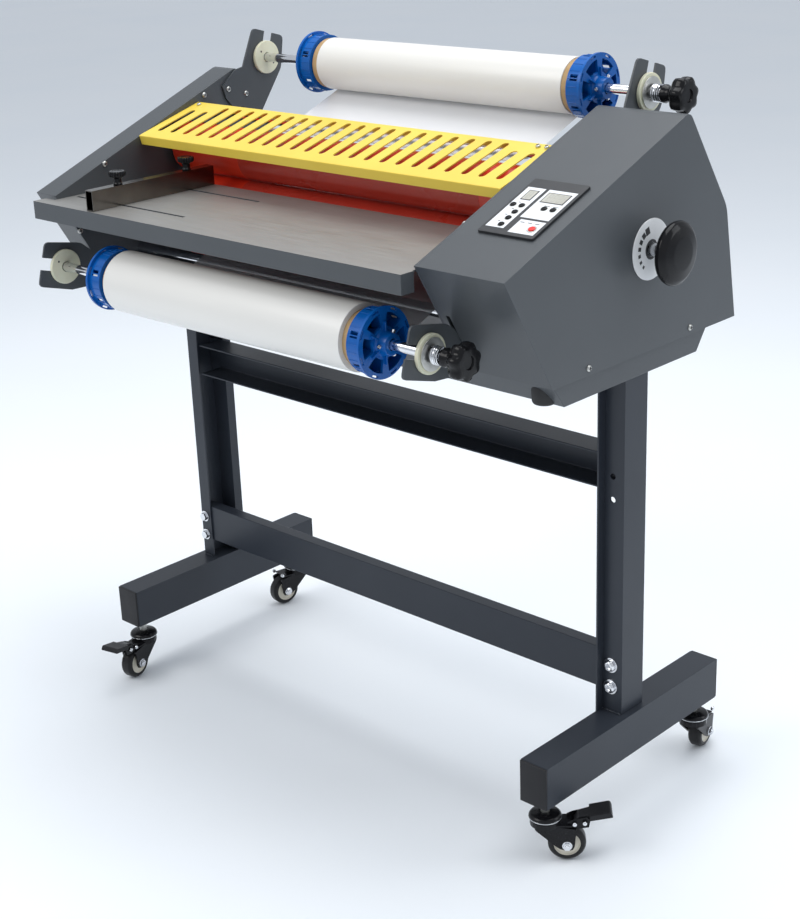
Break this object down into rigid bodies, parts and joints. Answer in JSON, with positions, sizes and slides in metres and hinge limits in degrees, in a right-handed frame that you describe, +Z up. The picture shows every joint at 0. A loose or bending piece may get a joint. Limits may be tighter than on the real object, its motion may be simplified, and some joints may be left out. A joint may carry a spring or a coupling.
{
  "type": "roll laminator",
  "caption": "Floor-standing film roll laminator: silicone rollers under a slotted heat guard, upper and lower film rolls, feed table, control panel and pressure knob on a caster stand.",
  "frame": {"origin": "centre of the overall footprint, on the floor under the caster wheels", "axes": "+Z up, -Y towards the operator who feeds the sheet, +X to the operator's right, along the rollers"},
  "size_m": [0.9278, 0.5236, 0.982],
  "materials": {
    "frame_paint": "satin charcoal powder coat",
    "brushed_steel": "brushed and lacquered",
    "bright_steel": "polished and zinc plated",
    "guard_paint": "satin yellow powder coat",
    "silicone": "smooth red silicone sleeve",
    "black_plastic": "semi-gloss black",
    "caster_black": "gloss black enamel",
    "tyre_black": "smooth polyurethane tread",
    "blue_plastic": "gloss moulded",
    "nylon": "satin off-white",
    "film": "satin clear film, white when wound",
    "red_plastic": "gloss",
    "dial_face": "satin white",
    "panel_face": "satin membrane"
  },
  "bodies": {
    "frame": {"foot_left": "frame_paint", "foot_right": "frame_paint", "upright_left": "frame_paint", "upright_right": "frame_paint", "crossbar_lower": "frame_paint", "crossbar_upper": "frame_paint", "base_tray": "frame_paint", "side_plate_left": "frame_paint", "side_plate_right": "frame_paint", "supply_fork_upper_left": "frame_paint", "supply_fork_upper_right": "frame_paint", "supply_fork_lower_right": "frame_paint", "cover_left": "frame_paint", "cover_right": "frame_paint", "caster_stem_front_right": "bright_steel", "caster_stem_front_left": "bright_steel", "caster_stem_rear_right": "bright_steel", "caster_stem_rear_left": "bright_steel", "feed_table": "brushed_steel", "heat_guard": "guard_paint", "supply_hub_upper_left": "nylon", "supply_hub_upper_right": "nylon", "supply_hub_lower_left": "nylon", "supply_hub_lower_right": "nylon", "control_panel": "panel_face", "pressure_dial": "dial_face", "drive_motor": "bright_steel"},
    "caster_front_right": {"caster_fork_front_right": "caster_black"},
    "wheel_front_right": {"caster_wheel_front_right": "tyre_black"},
    "pedal_front_right": {"brake_pedal_front_right": "black_plastic"},
    "caster_front_left": {"caster_fork_front_left": "caster_black"},
    "wheel_front_left": {"caster_wheel_front_left": "tyre_black"},
    "pedal_front_left": {"brake_pedal_front_left": "black_plastic"},
    "caster_rear_right": {"caster_fork_rear_right": "caster_black"},
    "wheel_rear_right": {"caster_wheel_rear_right": "tyre_black"},
    "caster_rear_left": {"caster_fork_rear_left": "caster_black"},
    "wheel_rear_left": {"caster_wheel_rear_left": "tyre_black"},
    "lower_roller": {"roller_lower": "silicone"},
    "pressure_carriage": {"carriage_left": "bright_steel", "carriage_right": "bright_steel"},
    "upper_roller": {"roller_upper": "silicone"},
    "lower_idler": {"idler_lower": "bright_steel"},
    "upper_idler": {"idler_upper": "bright_steel"},
    "supply_upper": {"supply_shaft_upper": "bright_steel", "core_chuck_upper_left": "blue_plastic", "core_chuck_upper_right": "blue_plastic", "film_roll_upper": "film", "tension_spring_upper": "bright_steel"},
    "knob_upper": {"tension_knob_upper": "black_plastic"},
    "supply_lower": {"supply_shaft_lower": "bright_steel", "core_chuck_lower_left": "blue_plastic", "core_chuck_lower_right": "blue_plastic", "film_roll_lower": "film", "tension_spring_lower": "bright_steel"},
    "knob_lower": {"tension_knob_lower": "black_plastic"},
    "pressure_control": {"pressure_knob": "black_plastic"},
    "guide": {"side_guide": "bright_steel"},
    "clamp_front": {"guide_clamp_front": "black_plastic"},
    "clamp_rear": {"guide_clamp_rear": "black_plastic"},
    "start_key": {"start_button": "red_plastic"}
  },
  "joints": [
    {"name": "swivel_front_right", "type": "hinge", "parent": "frame", "child": "caster_front_right", "pos_m": [0.38807, -0.1306, 0.06], "axis": [0, 0, 1], "continuous": true},
    {"name": "wheel_spin_front_right", "type": "hinge", "parent": "caster_front_right", "child": "wheel_front_right", "pos_m": [0.40952, -0.11261, 0.025], "axis": [-0.6428, 0.766, 0], "continuous": true},
    {"name": "brake_front_right", "type": "hinge", "parent": "caster_front_right", "child": "pedal_front_right", "pos_m": [0.41948, -0.10425, 0.059], "axis": [-0.6428, 0.766, 0], "range_deg": [0, 8]},
    {"name": "swivel_front_left", "type": "hinge", "parent": "frame", "child": "caster_front_left", "pos_m": [-0.43593, -0.1306, 0.06], "axis": [0, 0, 1], "continuous": true},
    {"name": "wheel_spin_front_left", "type": "hinge", "parent": "caster_front_left", "child": "wheel_front_left", "pos_m": [-0.42963, -0.15789, 0.025], "axis": [0.9744, 0.225, 0], "continuous": true},
    {"name": "brake_front_left", "type": "hinge", "parent": "caster_front_left", "child": "pedal_front_left", "pos_m": [-0.4267, -0.17055, 0.059], "axis": [0.9744, 0.225, 0], "range_deg": [0, 8]},
    {"name": "swivel_rear_right", "type": "hinge", "parent": "frame", "child": "caster_rear_right", "pos_m": [0.38807, 0.20839, 0.06], "axis": [0, 0, 1], "continuous": true},
    {"name": "wheel_spin_rear_right", "type": "hinge", "parent": "caster_rear_right", "child": "wheel_rear_right", "pos_m": [0.38321, 0.23597, 0.025], "axis": [-0.9848, -0.1736, 0], "continuous": true},
    {"name": "swivel_rear_left", "type": "hinge", "parent": "frame", "child": "caster_rear_left", "pos_m": [-0.43593, 0.20839, 0.06], "axis": [0, 0, 1], "continuous": true},
    {"name": "wheel_spin_rear_left", "type": "hinge", "parent": "caster_rear_left", "child": "wheel_rear_left", "pos_m": [-0.44079, 0.18082, 0.025], "axis": [0.9848, -0.1736, 0], "continuous": true},
    {"name": "lower_roller_spin", "type": "hinge", "parent": "frame", "child": "lower_roller", "pos_m": [-0.07393, 0.0254, 0.754], "axis": [1, 0, 0], "continuous": true},
    {"name": "pressure_lift", "type": "slide", "parent": "frame", "child": "pressure_carriage", "axis": [0, 0, 1], "range_m": [0, 0.005]},
    {"name": "upper_roller_spin", "type": "hinge", "parent": "pressure_carriage", "child": "upper_roller", "pos_m": [-0.07393, 0.0254, 0.8268], "axis": [1, 0, 0], "continuous": true},
    {"name": "lower_idler_spin", "type": "hinge", "parent": "frame", "child": "lower_idler", "pos_m": [-0.07393, -0.07461, 0.69], "axis": [1, 0, 0], "continuous": true},
    {"name": "upper_idler_spin", "type": "hinge", "parent": "frame", "child": "upper_idler", "pos_m": [-0.07393, 0.0904, 0.8668], "axis": [1, 0, 0], "continuous": true},
    {"name": "supply_spin_upper", "type": "hinge", "parent": "frame", "child": "supply_upper", "pos_m": [-0.07393, 0.1924, 0.937], "axis": [1, 0, 0], "continuous": true},
    {"name": "tension_knob_turn_upper", "type": "hinge", "parent": "supply_upper", "child": "knob_upper", "pos_m": [0.31607, 0.1924, 0.937], "axis": [1, 0, 0], "continuous": true},
    {"name": "supply_spin_lower", "type": "hinge", "parent": "frame", "child": "supply_lower", "pos_m": [-0.07393, -0.2176, 0.69], "axis": [1, 0, 0], "continuous": true},
    {"name": "tension_knob_turn_lower", "type": "hinge", "parent": "supply_lower", "child": "knob_lower", "pos_m": [0.31607, -0.2176, 0.69], "axis": [1, 0, 0], "continuous": true},
    {"name": "pressure_knob_turn", "type": "hinge", "parent": "frame", "child": "pressure_control", "pos_m": [0.41607, 0.0564, 0.775], "axis": [1, 0, 0], "range_deg": [0, 180]},
    {"name": "guide_slide", "type": "slide", "parent": "frame", "child": "guide", "axis": [1, 0, 0], "range_m": [-0.088, 0.131]},
    {"name": "clamp_turn_front", "type": "hinge", "parent": "guide", "child": "clamp_front", "pos_m": [-0.31193, -0.1886, 0.817], "axis": [0, 0, 1], "continuous": true},
    {"name": "clamp_turn_rear", "type": "hinge", "parent": "guide", "child": "clamp_rear", "pos_m": [-0.31193, -0.0656, 0.817], "axis": [0, 0, 1], "continuous": true},
    {"name": "start_press", "type": "slide", "parent": "frame", "child": "start_key", "axis": [0, 0.36, -0.9329], "range_m": [0, 0.001], "stiffness_N_per_m": 300}
  ],
  "couplings": [
    {"joint": "upper_roller_spin", "follows": "lower_roller_spin", "ratio": -1},
    {"joint": "pressure_knob_turn", "follows": "pressure_lift", "rad_per_m": 628.32}
  ]
}
